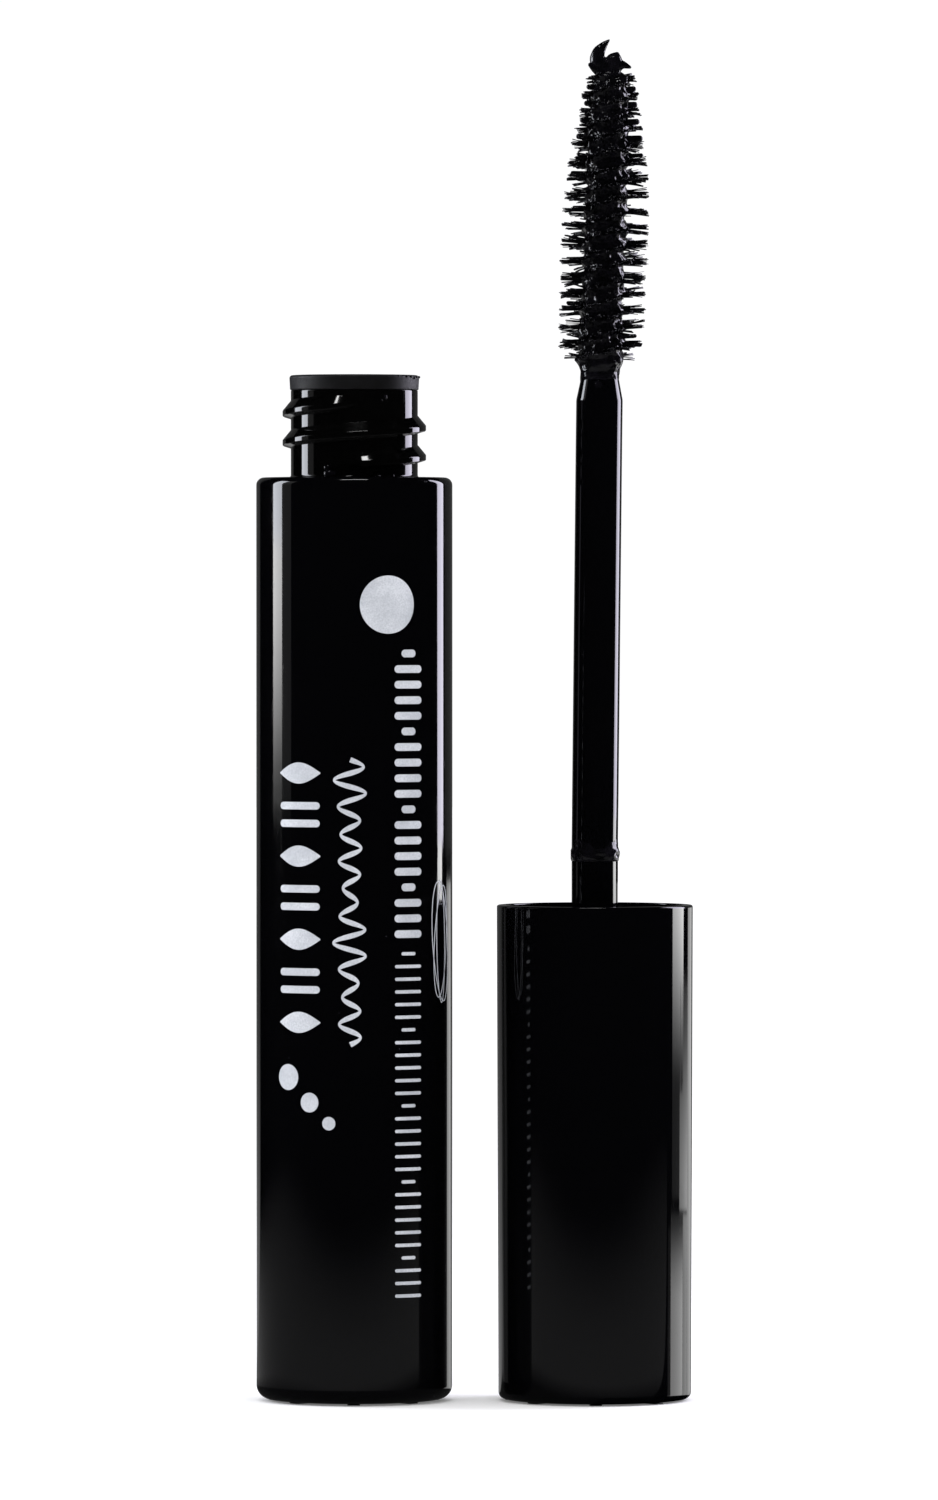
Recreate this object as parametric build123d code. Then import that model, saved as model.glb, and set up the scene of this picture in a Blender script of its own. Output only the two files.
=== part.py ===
from build123d import *
import os

# A mascara with its applicator drawn out. The double-walled bottle stands at the origin and the
# cap, which carries the rod and brush, stands on its closed end beside it, brush up.
# Millimetres, +Z up. The origin is the middle of the bottle's base and +X points to the cap.

# Bottle
BODY_DIA = 19.0            # bottle, and the cap at its rim
BODY_H = 89.4              # base to shoulder
BASE_ROUND = 1.35
SHOULDER_ROUND = 0.75
FOOT_H = 0.12              # low ribs and a gate disc under both closed ends, which they stand on
FOOT_RIBS = 8
FOOT_RIB = (1.4, 1.2)      # along and across the radius
GATE_DIA = 3.0
SLEEVE_WALL = 1.2
SLEEVE_FLOOR = 1.6
PLATE_DIA = 17.2           # shoulder plate of the vial, let into the sleeve's mouth
PLATE_T = 1.4
VIAL_DIA = 14.8
VIAL_BORE = 12.4
VIAL_FLOOR = 1.3
NECK_DIA = 12.3
NECK_BORE = 10.2
NECK_TOP = 97.85
FILL_TOP = 62.0            # level of the mascara with the brush out
FILL_CRATER = 5.0          # hollow that the brush leaves in it

# Thread between neck and cap: one start, right hand
LEAD = 2.84
NECK_THREAD_DIA = 13.9
NECK_THREAD_Z = 91.69      # middle of the tooth where it crosses +X
NECK_THREAD_SPAN = (-108, 640)     # degrees about +Z, counted from +X
NECK_TOOTH = (1.7, 0.5)    # width at the neck and at the crest
CAP_BORE = 14.4
CAP_THREAD_DIA = 12.9
CAP_THREAD_SPAN = (-1080, -448)
CAP_TOOTH = (1.3, 0.6)
CLOSING_TURNS = 1.75
TOOTH_SLOPE = 0.2          # share of a tooth's narrowing that is on its lower flank
TOOTH_SINK = 0.3           # depth of a tooth's root inside the wall

# Wiper in the neck
WIPER_FLANGE_DIA = 12.6
WIPER_FLANGE_T = 1.45
WIPER_WALL = 0.75
WIPER_DEPTH = 15.0         # below the flange's top
LIP_LAND = 0.9             # straight part of the lip
FUNNEL_H = 3.2             # cone above the lip
FLANGE_ROUND = 0.35

# Cap and applicator
CAP_X = 23.3               # its axis, beside the bottle's
CAP_L = 48.0
CAP_END_DIA = 18.7         # a moulding draft narrows the cap towards its closed end
CAP_ROUND = 0.7
RIM_ROUND = 0.2
CAP_WALL = 0.85
CAP_FLOOR = 1.4
SHOULDER_GAP = 0.2         # rim to shoulder, cap closed
INNER_CAP_RECESS = 0.6     # inner cap below the rim
WEB_T = 3.2                # the inner cap's floor, which holds the rod
INNER_CAP_LOW = 14.0
HEAD_DIA = 7.8             # the rod's head, in its seat under the web
HEAD_T = 1.6
SKIRT_T = 1.0              # inner cap's skirt
WASHER_T = 0.8
WASHER_BORE = 8.6
ROD_DIA = 4.5
ROD_END = 99.4
ROD_TIP_DIA = 3.5
ROD_TAPER_H = 2.5
WIRE_DIA = 1.4
WIRE_IN_ROD = 8.0
WIRE_END_ROUND = 0.56

# Brush and the product on it
BRUSH_LOW = 101.0
BRUSH_TOP = 129.2
ROW_STEP = 1.6
ROW_T = 0.5
BRUSH_DIAS = ((0.0, 8.2), (0.5, 8.6), (0.7, 8.2), (1.0, 4.6))   # share of its length, diameter
CORE_DIA = 4.0             # product packed round the wire
CORE_Z = (99.7, 128.7)
CORE_FOOT = (0.5, 1.2)     # it widens by this much over this height
CORE_TOP = (0.8, 1.5)      # and narrows again like this
RING_Z = (52.2, 53.5)      # ring of product on the rod
RING_DIA = 4.85
RING_EDGE = 0.3
DRIP_DIA = 2.4             # peak of product at the tip
DRIP_PROFILE = ((0.7, 129.5), (1.0, 130.0), (0.6, 130.6), (0.25, 131.5))   # share of radius, z
DRIP_TOP = 131.8

# Gaps
SLIP = 0.05                # between pieces that are pushed or glued together
LOOSE = 0.1                # round the washer
CLING = 0.03               # under the ring of product


def turned(points, axis_x=0.0):
    """A solid of revolution about the upright line at axis_x, from an outline of (radius, z)."""
    outline = Wire.make_polygon([(axis_x + r, 0, z) for r, z in points], close=True)
    return revolve(Face(outline), Axis((axis_x, 0, 0), (0, 0, 1)), 360)


def rings(solid, radius, z):
    """The circular edges of this radius at this height."""
    circles = solid.edges().filter_by(GeomType.CIRCLE)
    return [e for e in circles if abs(e.radius - radius) < 0.01 and abs(e.arc_center.Z - z) < 0.01]


def foot(axis_x, flat_r):
    """The ribs near the edge of a flat end, and the disc over its gate, down to the ground."""
    length, width = FOOT_RIB
    sunk = 2 * FOOT_H
    up = (Align.CENTER, Align.CENTER, Align.MIN)
    ribs = PolarLocations(flat_r - length / 2, FOOT_RIBS) * Box(length, width, sunk, align=up)
    gate = Cylinder(GATE_DIA / 2, sunk, align=up)
    return [Pos(axis_x, 0, 0) * piece for piece in [gate, *ribs]]


def thread(axis_x, z_at_x, span, root_r, crest_r, tooth):
    """A helical rib. Its tooth runs from root_r, sunk into the wall, to crest_r.

    The tooth is a buttress: its lower flank is nearly square and its upper flank slopes.
    z_at_x is the height of the tooth's middle where it crosses +X, counted at 0 degrees.
    """
    outward = 1 if crest_r > root_r else -1
    root_w, crest_w = tooth
    slope = TOOTH_SLOPE * (root_w - crest_w)
    low, high = -root_w / 2, root_w / 2
    back = root_r - outward * TOOTH_SINK
    section = [
        (back, low),
        (root_r, low),
        (crest_r, low + slope),
        (crest_r, low + slope + crest_w),
        (root_r, high),
        (back, high),
    ]
    start, end = span
    turns = (end - start) / 360
    path = Helix(LEAD, LEAD * turns, root_r)
    profile = Face(Wire.make_polygon([(r, 0, z) for r, z in section], close=True))
    rib = sweep(profile, path=path, is_frenet=True)
    return Pos(axis_x, 0, z_at_x + LEAD * start / 360) * Rot(Z=start) * rib


def make_outer_bottle():
    """The gloss sleeve: closed base, open top with a step for the vial's shoulder plate."""
    outer = BODY_DIA / 2
    bore = outer - SLEEVE_WALL
    step = BODY_H - PLATE_T
    seat = PLATE_DIA / 2 + SLIP
    sleeve = turned([
        (0, FOOT_H), (outer, FOOT_H), (outer, BODY_H), (seat, BODY_H), (seat, step),
        (bore, step), (bore, SLEEVE_FLOOR), (0, SLEEVE_FLOOR),
    ])
    sleeve = fillet(rings(sleeve, outer, FOOT_H), BASE_ROUND)
    sleeve = fillet(rings(sleeve, outer, BODY_H), SHOULDER_ROUND)
    return sleeve + foot(0, outer - BASE_ROUND)


def make_inner_vial():
    """The bottle proper: tube, shoulder plate and threaded neck in one moulding."""
    tube, bore, neck = VIAL_DIA / 2, VIAL_BORE / 2, NECK_DIA / 2
    throat = NECK_BORE / 2
    floor = SLEEVE_FLOOR + SLIP
    plate_low = BODY_H - PLATE_T
    throat_low = plate_low + PLATE_T / 2 - (bore - throat)
    vial = turned([
        (0, floor), (tube, floor), (tube, plate_low), (PLATE_DIA / 2, plate_low),
        (PLATE_DIA / 2, BODY_H), (neck, BODY_H), (neck, NECK_TOP), (throat, NECK_TOP),
        (throat, throat_low + bore - throat), (bore, throat_low),
        (bore, floor + VIAL_FLOOR), (0, floor + VIAL_FLOOR),
    ])
    vial = fillet(rings(vial, tube, floor), BASE_ROUND)
    vial = fillet(rings(vial, bore, floor + VIAL_FLOOR), BASE_ROUND)
    rib = thread(0, NECK_THREAD_Z, NECK_THREAD_SPAN, neck, NECK_THREAD_DIA / 2, NECK_TOOTH)
    return vial + rib


def make_wiper():
    """The soft plug in the neck: a flange, a tube, a funnel and the lip that scrapes the rod."""
    tube = NECK_BORE / 2 - SLIP
    inside = tube - WIPER_WALL
    lip = ROD_DIA / 2 + SLIP
    top = NECK_TOP + WIPER_FLANGE_T
    low = top - WIPER_DEPTH
    cone_low = low + LIP_LAND
    plug = turned([
        (lip, low), (lip + WIPER_WALL, low), (tube, cone_low + FUNNEL_H), (tube, NECK_TOP),
        (WIPER_FLANGE_DIA / 2, NECK_TOP), (WIPER_FLANGE_DIA / 2, top), (inside, top),
        (inside, cone_low + FUNNEL_H), (lip, cone_low),
    ])
    return fillet(rings(plug, WIPER_FLANGE_DIA / 2, top), FLANGE_ROUND)


def make_product_fill():
    """The mascara in the vial, with the hollow that the brush left."""
    radius = VIAL_BORE / 2 - SLIP
    floor = SLEEVE_FLOOR + VIAL_FLOOR + 2 * SLIP
    fill = turned([
        (0, floor), (radius, floor), (radius, FILL_TOP), (CORE_DIA, FILL_TOP),
        (0, FILL_TOP - FILL_CRATER),
    ])
    return fillet(rings(fill, radius, floor), BASE_ROUND)


def make_cap_shell():
    """The gloss cap, standing on its closed end."""
    rim, end = BODY_DIA / 2, CAP_END_DIA / 2
    draft = (rim - end) / CAP_L
    shell = turned([
        (0, FOOT_H), (end, FOOT_H), (rim, CAP_L), (rim - CAP_WALL, CAP_L),
        (end + draft * CAP_FLOOR - CAP_WALL, CAP_FLOOR), (0, CAP_FLOOR),
    ], CAP_X)
    shell = fillet(rings(shell, end, FOOT_H), CAP_ROUND)
    shell = fillet(rings(shell, rim, CAP_L), RIM_ROUND)
    return shell + foot(CAP_X, end - CAP_ROUND)


def web_top():
    """Height of the inner cap's floor: closed, the washer on it meets the wiper's flange."""
    flange_above_shoulder = NECK_TOP + WIPER_FLANGE_T - BODY_H
    flange_when_closed = CAP_L + SHOULDER_GAP - flange_above_shoulder
    return flange_when_closed - SLIP - WASHER_T - SLIP


def cap_thread_z():
    """Height of the cap's tooth where its helix crosses +X.

    Closed, the cap is upside down over the neck, and its tooth lies midway between two of the
    neck's. CLOSING_TURNS of its own turn bring it there from where it stands now.
    """
    closed_height = CAP_L + SHOULDER_GAP + BODY_H
    between_teeth = NECK_THREAD_Z + LEAD / 2
    return closed_height - between_teeth - LEAD / 2 + LEAD * CLOSING_TURNS


def make_inner_cap():
    """The threaded insert: its floor holds the rod, and its skirt lines the lower cap."""
    top = CAP_L - INNER_CAP_RECESS
    bore, hole, seat = CAP_BORE / 2, ROD_DIA / 2 + SLIP, HEAD_DIA / 2 + SLIP
    floor = web_top()
    under = floor - WEB_T
    outer = CAP_END_DIA / 2 - CAP_WALL - SLIP
    insert = turned([
        (hole, floor), (bore, floor), (bore, top), (outer, top), (outer, INNER_CAP_LOW),
        (outer - SKIRT_T, INNER_CAP_LOW), (outer - SKIRT_T, under), (seat, under),
        (seat, under + HEAD_T), (hole, under + HEAD_T),
    ], CAP_X)
    rib = thread(CAP_X, cap_thread_z(), CAP_THREAD_SPAN, bore, CAP_THREAD_DIA / 2, CAP_TOOTH)
    return insert + rib


def make_seal_washer():
    """The soft ring on the inner cap's floor that seals on the wiper's flange."""
    low = web_top() + SLIP
    outer = CAP_BORE / 2 - LOOSE
    return turned([
        (WASHER_BORE / 2, low), (outer, low), (outer, low + WASHER_T),
        (WASHER_BORE / 2, low + WASHER_T),
    ], CAP_X)


def make_rod():
    """The stem: a head held under the inner cap's floor, and a tapered end bored for the wire."""
    rod, tip, wire = ROD_DIA / 2, ROD_TIP_DIA / 2, WIRE_DIA / 2 + SLIP
    head_top = web_top() - WEB_T + HEAD_T - SLIP
    head_low = head_top - HEAD_T
    hole = ROD_END - WIRE_IN_ROD
    return turned([
        (0, head_low), (HEAD_DIA / 2, head_low), (HEAD_DIA / 2, head_top), (rod, head_top),
        (rod, ROD_END - ROD_TAPER_H), (tip, ROD_END), (wire, ROD_END), (wire, hole), (0, hole),
    ], CAP_X)


def make_core_wire():
    """The brush's twisted steel wire, taken as one round core with a rounded end."""
    radius = WIRE_DIA / 2
    low = ROD_END - WIRE_IN_ROD + SLIP
    wire = turned([(0, low), (radius, low), (radius, BRUSH_TOP), (0, BRUSH_TOP)], CAP_X)
    return fillet(rings(wire, radius, BRUSH_TOP), WIRE_END_ROUND)


def brush_radius(z):
    """The brush's outline: nearly straight from its foot, then narrowing to a blunt tip."""
    share = (z - BRUSH_LOW) / (BRUSH_TOP - BRUSH_LOW)
    for (share_a, dia_a), (share_b, dia_b) in zip(BRUSH_DIAS, BRUSH_DIAS[1:]):
        if share <= share_b + 1e-6:
            return (dia_a + (dia_b - dia_a) * (share - share_a) / (share_b - share_a)) / 2
    return BRUSH_DIAS[-1][1] / 2


def make_bristles():
    """The bristles, taken as one thin disc for each row of their helix."""
    inner = CORE_DIA / 2 + SLIP
    rows = int((BRUSH_TOP - BRUSH_LOW - ROW_T) / ROW_STEP) + 1
    discs = []
    for row in range(rows):
        low = BRUSH_LOW + row * ROW_STEP
        outer = brush_radius(low)
        discs.append(turned([(inner, low), (outer, low), (outer, low + ROW_T),
                             (inner, low + ROW_T)], CAP_X))
    return Compound(children=discs)


def make_product_on_brush():
    """The wet mascara packed round the wire between the bristles' roots."""
    inner, outer = WIRE_DIA / 2 + SLIP, CORE_DIA / 2
    low, high = CORE_Z
    foot_narrow, foot_h = CORE_FOOT
    top_narrow, top_h = CORE_TOP
    return turned([
        (inner, low), (outer - foot_narrow, low), (outer, low + foot_h), (outer, high - top_h),
        (outer - top_narrow, high), (inner, high),
    ], CAP_X)


def make_product_ring():
    """The ring of mascara that the wiper's lip left on the rod."""
    inner, outer = ROD_DIA / 2 + CLING, RING_DIA / 2
    low, high = RING_Z
    return turned([
        (inner, low), (outer, low + RING_EDGE), (outer, high - RING_EDGE), (inner, high),
    ], CAP_X)


def make_tip_drip():
    """The peak of mascara pulled out at the brush's tip."""
    profile = [(share * DRIP_DIA / 2, z) for share, z in DRIP_PROFILE]
    return turned([(0, profile[0][1]), *profile, (0, DRIP_TOP)], CAP_X)


PIECES = {
    "outer_bottle": make_outer_bottle,
    "inner_vial": make_inner_vial,
    "wiper": make_wiper,
    "product_fill": make_product_fill,
    "cap_shell": make_cap_shell,
    "inner_cap": make_inner_cap,
    "seal_washer": make_seal_washer,
    "rod": make_rod,
    "core_wire": make_core_wire,
    "bristles": make_bristles,
    "product_on_brush": make_product_on_brush,
    "product_ring": make_product_ring,
    "tip_drip": make_tip_drip,
}

os.makedirs("parts", exist_ok=True)
for node, make in PIECES.items():
    export_step(make(), f"parts/{node}.step")
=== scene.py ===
import bpy
import numpy as np
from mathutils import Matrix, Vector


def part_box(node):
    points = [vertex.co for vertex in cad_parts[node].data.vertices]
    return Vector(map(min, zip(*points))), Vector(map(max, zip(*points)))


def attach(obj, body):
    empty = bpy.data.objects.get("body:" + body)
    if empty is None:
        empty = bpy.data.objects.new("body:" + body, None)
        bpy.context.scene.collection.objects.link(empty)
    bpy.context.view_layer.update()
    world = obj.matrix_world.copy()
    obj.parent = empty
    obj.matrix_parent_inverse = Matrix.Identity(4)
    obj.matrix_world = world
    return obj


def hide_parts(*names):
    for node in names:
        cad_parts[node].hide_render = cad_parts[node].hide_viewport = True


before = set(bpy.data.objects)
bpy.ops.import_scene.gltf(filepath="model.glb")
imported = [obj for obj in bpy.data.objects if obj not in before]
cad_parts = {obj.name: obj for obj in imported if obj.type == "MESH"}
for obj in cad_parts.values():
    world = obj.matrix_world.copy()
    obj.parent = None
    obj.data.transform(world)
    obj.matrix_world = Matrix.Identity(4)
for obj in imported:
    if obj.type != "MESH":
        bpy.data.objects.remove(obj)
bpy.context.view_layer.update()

# ---------------------------------------------------------------------------------------------
# Bottle sleeve: the outer wall of the double-walled bottle, injection moulded in black ABS and
# polished by its mould. Its mouth takes the vial's shoulder plate, and it stands on eight low
# ribs and a gate disc.

MM = 0.001
TURN = 2 * np.pi
ROUND_STEPS = 10           # faces across a rounded corner
SUPPORT = 0.03 * MM        # a loop this close to each corner keeps the flat beside it flat
LATHE_FACES = 192
BODY_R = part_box("outer_bottle")[1].x
BODY_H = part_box("outer_bottle")[1].z
FOOT_H = 0.12 * MM         # how far the foot ribs stand below the flat end
RIBS, RIB_SIZE = 8, (1.4 * MM, 1.2 * MM)
GATE_R = 1.5 * MM          # the disc where the plastic entered the mould
BASE_ROUND = 1.35 * MM
SHOULDER_ROUND = 0.75 * MM
SLEEVE_WALL = 1.2 * MM
SLEEVE_FLOOR = 1.6 * MM
PLATE_T = 1.4 * MM
PLATE_R = 8.6 * MM
FIT = 0.05 * MM


def rounded(corners):
    """A smooth outline through corners of (radius, height, round).

    Each corner is replaced by an arc that touches both sides: its centre lies along the corner's
    bisector, at round / sin(half the corner's angle). One more point stands just before and after.
    """
    points = []
    at = np.array([c[:2] for c in corners], float)
    for i, (_, _, size) in enumerate(corners):
        if i in (0, len(corners) - 1) or not size:
            points.append(at[i][None])
            continue
        back, on = at[i - 1] - at[i], at[i + 1] - at[i]
        back, on = back / np.linalg.norm(back), on / np.linalg.norm(on)
        half = np.arccos(np.clip(back @ on, -1, 1)) / 2
        reach = size / np.tan(half)
        middle = at[i] + (back + on) / np.linalg.norm(back + on) * size / np.sin(half)
        start, end = at[i] + back * reach - middle, at[i] + on * reach - middle
        sweep = np.pi - 2 * half
        share = np.linspace(0, 1, ROUND_STEPS + 1)[:, None]
        arc = np.sin((1 - share) * sweep) * start + np.sin(share * sweep) * end
        arc = middle + arc / np.sin(sweep)
        points += [at[i] + back * (reach + SUPPORT), arc, at[i] + on * (reach + SUPPORT)]
    return np.vstack([np.atleast_2d(p) for p in points])


def grid_faces(rows, columns, wrap_rows=False, wrap_columns=False):
    """Quads between neighbours on a grid of rows x columns points, joined round where it wraps."""
    row = np.arange(rows if wrap_rows else rows - 1)
    column = np.arange(columns if wrap_columns else columns - 1)
    r, c = np.meshgrid(row, column, indexing="ij")
    r2, c2 = (r + 1) % rows, (c + 1) % columns
    quads = np.stack([r * columns + c, r * columns + c2, r2 * columns + c2, r2 * columns + c], -1)
    return quads.reshape(-1, 4)


def new_piece(name, points, faces, body, slot, replaced=(), smooth=True):
    """A mesh object from arrays of points and faces, riding on its body."""
    mesh = bpy.data.meshes.new(name)
    mesh.from_pydata(np.asarray(points).tolist(), [], [list(f) for f in faces])
    if smooth:
        mesh.shade_smooth()
    piece = bpy.data.objects.new(name, mesh)
    bpy.context.scene.collection.objects.link(piece)
    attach(piece, body)
    if replaced:
        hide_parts(*replaced)
    return piece


def lathe(outline, axis_x=0.0, faces=LATHE_FACES, shift=None):
    """Points and faces of a surface of revolution: (r cos a, r sin a, z) for each outline point.

    An outline that starts and ends on the axis is closed by a point there; any other is a ring
    and joins up with its own start. shift moves each level sideways, as a function of height.
    """
    on_axis = outline[0, 0] < 1e-9 and outline[-1, 0] < 1e-9
    rings = outline[1:-1] if on_axis else outline
    angle = np.arange(faces) / faces * TURN
    x = rings[:, :1] * np.cos(angle)
    y = rings[:, :1] * np.sin(angle)
    z = np.broadcast_to(rings[:, 1:], x.shape)
    points = np.stack([x, y, z], -1).reshape(-1, 3)
    quads = grid_faces(len(rings), faces, wrap_rows=not on_axis, wrap_columns=True).tolist()
    if on_axis:
        poles = np.array([[0, 0, outline[0, 1]], [0, 0, outline[-1, 1]]])
        points = np.vstack([points, poles])
        low, high = len(points) - 2, len(points) - 1
        here = np.arange(faces)
        after = (here + 1) % faces
        last = (len(rings) - 1) * faces
        quads += np.stack([np.full(faces, low), after, here], -1).tolist()
        quads += np.stack([last + here, last + after, np.full(faces, high)], -1).tolist()
    points[:, 0] += axis_x
    if shift is not None:
        points += shift(points[:, 2])
    return points, quads


def joined(*parts):
    """Several (points, faces) as one, with each part's faces counted on from the last."""
    points, faces, count = [], [], 0
    for part_points, part_faces in parts:
        points.append(part_points)
        faces += [[i + count for i in f] for f in part_faces]
        count += len(part_points)
    return np.vstack(points), faces


def foot_ribs(axis_x, flat_r):
    """Low blocks round the edge of a flat end: a unit block scaled, set out and turned."""
    corner = np.array([[x, y, z] for x in (-0.5, 0.5) for y in (-0.5, 0.5) for z in (0, 1)])
    block = corner * [*RIB_SIZE, 2 * FOOT_H] + [flat_r - RIB_SIZE[0] / 2, 0, 0]
    sides = [[0, 1, 3, 2], [4, 6, 7, 5], [0, 4, 5, 1], [2, 3, 7, 6], [0, 2, 6, 4], [1, 5, 7, 3]]
    ribs = []
    for k in range(RIBS):
        a = TURN * k / RIBS
        turned = block @ np.array([[np.cos(a), np.sin(a), 0], [-np.sin(a), np.cos(a), 0], [0, 0, 1]])
        ribs.append((turned + [axis_x, 0, 0], sides))
    gate = np.array([[0, 0], [GATE_R, 0], [GATE_R, 2 * FOOT_H], [0, 2 * FOOT_H]])
    return [*ribs, lathe(gate, axis_x, 48)]


def linear(hex_colour):
    """An sRGB hex colour as linear RGBA."""
    value = np.array([int(hex_colour[i:i + 2], 16) for i in (1, 3, 5)]) / 255
    value = np.where(value <= 0.04045, value / 12.92, ((value + 0.055) / 1.055) ** 2.4)
    return (*value, 1.0)


COLOUR_A, COLOUR_B, COLOUR_OUT = 6, 7, 2       # the Mix node's colour sockets, by number
MAP = "ShaderNodeMapRange"     # maps input 0 from the range of 1 and 2 to that of 3 and 4


def new_material(name):
    """A node material with a Principled shader, and the Object coordinates that its patterns read."""
    material = bpy.data.materials.new(name)
    material.use_nodes = True
    tree = material.node_tree
    tree.nodes.clear()
    output = add(tree, "ShaderNodeOutputMaterial")
    shader = add(tree, "ShaderNodeBsdfPrincipled")
    tree.links.new(shader.outputs["BSDF"], output.inputs["Surface"])
    return material, tree, shader, add(tree, "ShaderNodeTexCoord").outputs["Object"]


def add(tree, kind, values=None, links=None, **settings):
    """Adds one node, sets its fields and input values, and links inputs to other outputs."""
    new = tree.nodes.new(kind)
    for field, value in settings.items():
        setattr(new, field, value)
    for socket, value in (values or {}).items():
        new.inputs[socket].default_value = value
    for socket, source in (links or {}).items():
        tree.links.new(source, new.inputs[socket])
    return new


def tinted(tree, shader, share, from_colour, to_colour):
    """Base colour between two sRGB hex values, as share goes from 0 to 1."""
    tint = add(tree, "ShaderNodeMix", {COLOUR_A: linear(from_colour), COLOUR_B: linear(to_colour)},
               {"Factor": share}, data_type="RGBA")
    tree.links.new(tint.outputs[COLOUR_OUT], shader.inputs["Base Color"])


def textured(tree, shader, grain, rough=None, relief=None):
    """Roughness over the range rough as grain goes from 0.3 to 0.7, and a bump from that grain,
    where relief gives its strength and depth."""
    if rough:
        spread = add(tree, MAP, {1: 0.3, 2: 0.7, 3: rough[0], 4: rough[1]}, {0: grain})
        tree.links.new(spread.outputs["Result"], shader.inputs["Roughness"])
    if relief:
        bump = add(tree, "ShaderNodeBump", {"Strength": relief[0], "Distance": relief[1]},
                   {"Height": grain})
        tree.links.new(bump.outputs["Normal"], shader.inputs["Normal"])


def polished_abs(name, colour="#030304", dust=1.0, wear=1.0):
    """Black ABS from a polished mould: a deep mirror gloss, IOR 1.5, with the faint marks of use.

    Fine dust shows as pale specks, hairline scratches about 0.03 mm wide break the reflections,
    and the moulding's slow waviness, a few millimetres long, keeps its highlights from ruling.
    """
    material, tree, shader, place = new_material(name)
    shader.inputs["IOR"].default_value = 1.5
    waviness = add(tree, "ShaderNodeTexNoise", {"Scale": 1 / (7 * MM), "Detail": 1.0}, {"Vector": place})
    stretched = add(tree, "ShaderNodeMapping", {"Scale": (1.0, 1.0, 0.06)}, {"Vector": place})
    hairs = add(tree, "ShaderNodeTexNoise", {"Scale": 1 / (0.12 * MM), "Detail": 2.0},
                {"Vector": stretched.outputs["Vector"]})
    scratch = add(tree, MAP, {1: 0.68, 2: 0.76, 3: 0.0, 4: wear}, {0: hairs.outputs["Fac"]})
    smears = add(tree, "ShaderNodeTexNoise", {"Scale": 1 / (5 * MM), "Detail": 4.0, "Roughness": 0.6},
                 {"Vector": place})
    smear = add(tree, MAP, {1: 0.45, 2: 0.75, 3: 0.035, 4: 0.10}, {0: smears.outputs["Fac"]})
    rough = add(tree, "ShaderNodeMath", {1: 0.12},
                {0: scratch.outputs["Result"], 2: smear.outputs["Result"]}, operation="MULTIPLY_ADD")
    tree.links.new(rough.outputs["Value"], shader.inputs["Roughness"])
    specks = add(tree, "ShaderNodeTexVoronoi", {"Scale": 1 / (2.2 * MM)}, {"Vector": place})
    speck = add(tree, MAP, {1: 0.010, 2: 0.024, 3: dust, 4: 0.0}, {0: specks.outputs["Distance"]})
    sparse = add(tree, "ShaderNodeTexNoise", {"Scale": 1 / (6 * MM)}, {"Vector": place})
    where = add(tree, MAP, {1: 0.50, 2: 0.60, 3: 0.0, 4: 0.35}, {0: sparse.outputs["Fac"]})
    shown = add(tree, "ShaderNodeMath", links={0: speck.outputs["Result"], 1: where.outputs["Result"]},
                operation="MULTIPLY")
    tinted(tree, shader, shown.outputs["Value"], colour, "#8f8f96")
    textured(tree, shader, waviness.outputs["Fac"], relief=(0.010, 0.2 * MM))
    return material


sleeve_outline = rounded([
    (0, FOOT_H, 0), (BODY_R, FOOT_H, BASE_ROUND), (BODY_R, BODY_H, SHOULDER_ROUND),
    (PLATE_R + FIT, BODY_H, FIT), (PLATE_R + FIT, BODY_H - PLATE_T, FIT),
    (BODY_R - SLEEVE_WALL, BODY_H - PLATE_T, FIT), (BODY_R - SLEEVE_WALL, SLEEVE_FLOOR, FIT),
    (0, SLEEVE_FLOOR, 0),
])
sleeve_parts = joined(lathe(sleeve_outline), *foot_ribs(0, BODY_R - BASE_ROUND))
sleeve = new_piece("bottle_sleeve", *sleeve_parts, "bottle", "gloss_black", ["outer_bottle"])
sleeve.data.materials.append(polished_abs("polished black ABS"))

# ---------------------------------------------------------------------------------------------
# Decoration on the sleeve: silver-grey ink, screen printed after moulding, so it stands about
# 0.02 mm proud. The marks are plain ones: lenses, bars, dots, a wave and a disc.

INK_LIFT, INK_SINK = 0.02 * MM, 0.05 * MM             # above the wall, and into it
LEFT_COLUMN, RIGHT_COLUMN = -5.6 * MM, 5.62 * MM      # arc length to the right of the front
WAVES, WAVE_TOP, WAVE_H = 10.5, 62.2, 27.4            # the wavy line, beside the left column, in mm


def on_sleeve(u, v, lift):
    """Wraps flat (u, v) round the sleeve: u is arc length to the right of the front, v is height."""
    angle = u / BODY_R
    radius = BODY_R + lift
    return np.stack([radius * np.sin(angle), -radius * np.cos(angle), v], -1)


def ink_line(u, v, half_width, closed=False):
    """A printed line along (u, v): each point gets a left and right edge square to the path.

    The section is a flat box, so the line is a closed film of ink on the wall.
    """
    if closed:
        du = np.roll(u, -1) - np.roll(u, 1)
        dv = np.roll(v, -1) - np.roll(v, 1)
    else:
        du, dv = np.gradient(u), np.gradient(v)
    length = np.hypot(du, dv)
    side_u, side_v = -dv / length * half_width, du / length * half_width
    left, right = (u + side_u, v + side_v), (u - side_u, v - side_v)
    film = np.stack([
        on_sleeve(*left, -INK_SINK), on_sleeve(*left, INK_LIFT),
        on_sleeve(*right, INK_LIFT), on_sleeve(*right, -INK_SINK),
    ], 1)
    faces = grid_faces(len(u), 4, wrap_rows=closed, wrap_columns=True).tolist()
    if not closed:
        last = 4 * (len(u) - 1)
        faces += [[3, 2, 1, 0], [last, last + 1, last + 2, last + 3]]
    return film.reshape(-1, 3), faces


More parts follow.
